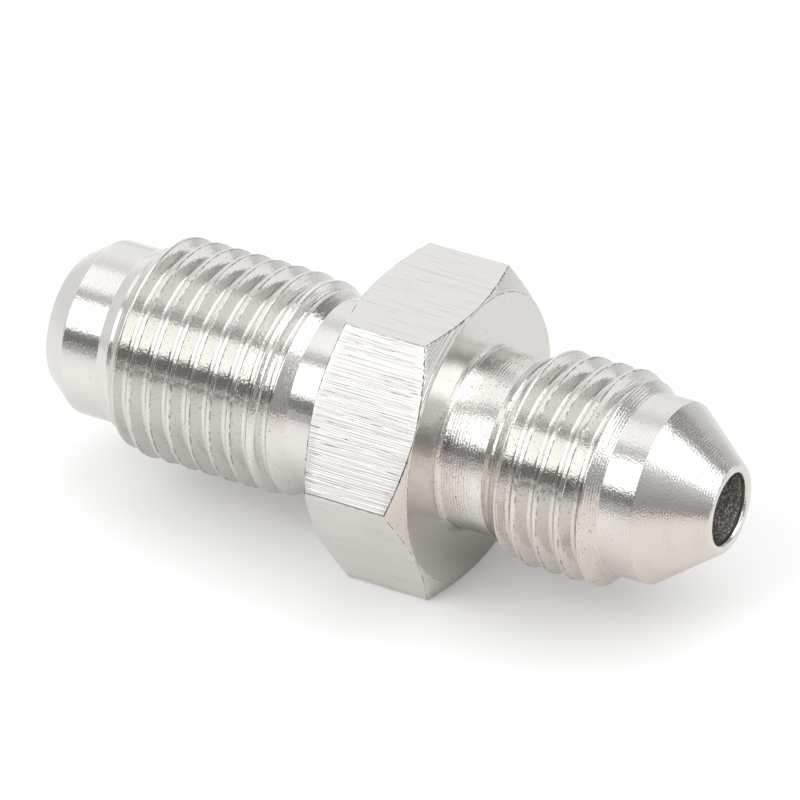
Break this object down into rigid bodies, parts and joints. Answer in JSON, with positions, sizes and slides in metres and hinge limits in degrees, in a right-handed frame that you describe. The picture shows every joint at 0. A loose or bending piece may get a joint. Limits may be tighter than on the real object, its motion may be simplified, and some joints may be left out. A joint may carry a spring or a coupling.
{
  "type": "brake line flare adapter",
  "caption": "Straight steel hydraulic adapter: male thread and 37 degree flare cone at one end, longer male thread and pilot nose at the other, hexagon between, bored through.",
  "frame": {"origin": "on the axis of the bore, at the middle of the hexagon", "axes": "+X along the bore towards the flare cone, +Z square to the wrench flat on top, -Z down onto the flat that it lies on"},
  "size_m": [0.0322, 0.015, 0.013],
  "materials": {
    "steel": "bright turned, wrench flats brushed along the bore"
  },
  "bodies": {
    "root": {"adapter_body": "steel"}
  },
  "joints": []
}
